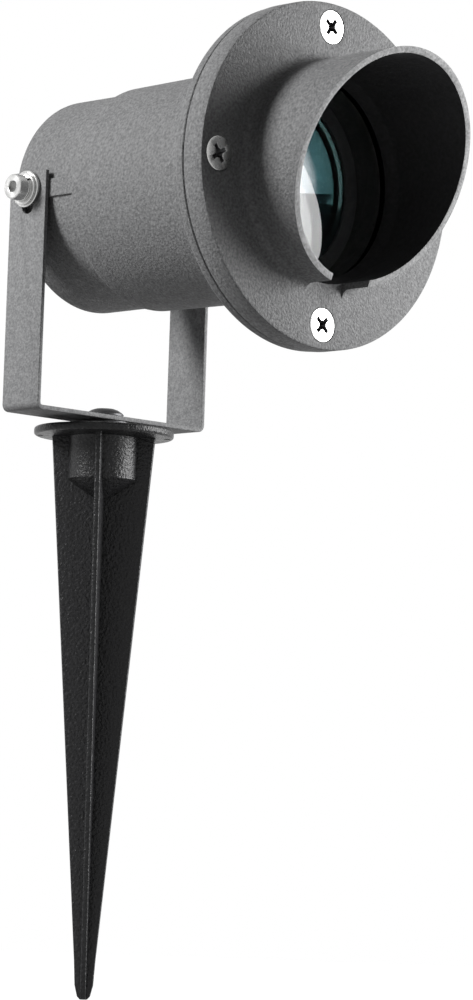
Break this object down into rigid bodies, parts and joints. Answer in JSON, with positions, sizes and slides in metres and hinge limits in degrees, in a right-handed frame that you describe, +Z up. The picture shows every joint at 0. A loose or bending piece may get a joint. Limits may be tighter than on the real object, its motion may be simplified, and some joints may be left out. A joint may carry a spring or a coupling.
{
  "type": "garden spike spotlight",
  "caption": "Ground spike spotlight: cast projector head with a hooded screwed bezel, tilting in a strip bracket on a moulded ground spike.",
  "frame": {"origin": "on the spike's axis, at ground level under its top disc", "axes": "+Z up along the spike, X along the tilt axis of the head, the light leaves towards -Y"},
  "size_m": [0.0936, 0.1405, 0.2682],
  "materials": {
    "powder_coat": "fine textured powder coat, anthracite",
    "cast_coat": "die-cast aluminium under a fine textured powder coat, anthracite, not shiny",
    "spike_plastic": "moulded, lightly grained, black",
    "black_plastic": "moulded, satin, black",
    "seal_rubber": "matt, black",
    "zinc_steel": "bright zinc",
    "stainless": "turned, bright",
    "cover_glass": "clear, polished",
    "lamp_glass": "clear, pressed",
    "dichroic_glass": "faceted dichroic mirror coating",
    "ceramic": "unglazed ceramic, off-white",
    "terminal_plastic": "moulded, natural",
    "brass": "bright",
    "core_brown": "satin, brown",
    "core_blue": "satin, blue",
    "core_green": "satin, green",
    "silicone": "matt, off-white"
  },
  "bodies": {
    "stake_body": {"stake": "spike_plastic", "stake_nut": "zinc_steel", "stake_bolt": "zinc_steel", "hub_washer": "zinc_steel"},
    "bracket_body": {"bracket": "powder_coat"},
    "head_body": {"pivot_screws": "stainless", "spring_washers": "stainless", "flat_washers": "stainless", "slot_washers": "stainless", "housing": "cast_coat", "bezel": "cast_coat", "bezel_screws": "stainless", "flange_gasket": "seal_rubber", "glass_gasket": "seal_rubber", "cover_glass": "cover_glass", "lamp_reflector": "dichroic_glass", "lamp_front_glass": "lamp_glass", "lamp_capsule": "lamp_glass", "lamp_base": "ceramic", "lamp_pins": "zinc_steel", "lamp_ring": "black_plastic", "lampholder": "ceramic", "holder_contacts": "brass", "holder_bracket": "zinc_steel", "holder_screws": "zinc_steel", "yoke_screws": "zinc_steel", "terminal_block": "terminal_plastic", "terminal_screws": "brass", "earth_tag": "brass", "earth_screw": "zinc_steel", "gland_body": "black_plastic", "gland_seal": "seal_rubber", "gland_cap": "black_plastic", "gland_washer": "seal_rubber", "gland_locknut": "black_plastic", "lead_live": "core_brown", "lead_neutral": "core_blue", "lead_earth": "core_green", "lamp_leads": "silicone"}
  },
  "joints": [
    {"name": "bracket_swivel", "type": "hinge", "parent": "stake_body", "child": "bracket_body", "pos_m": [0, 0, 0.00485], "axis": [0, 0, 1], "continuous": true},
    {"name": "head_tilt", "type": "hinge", "parent": "bracket_body", "child": "head_body", "pos_m": [0, 0, 0.06545], "axis": [-1, 0, 0], "range_deg": [-12, 90]}
  ]
}
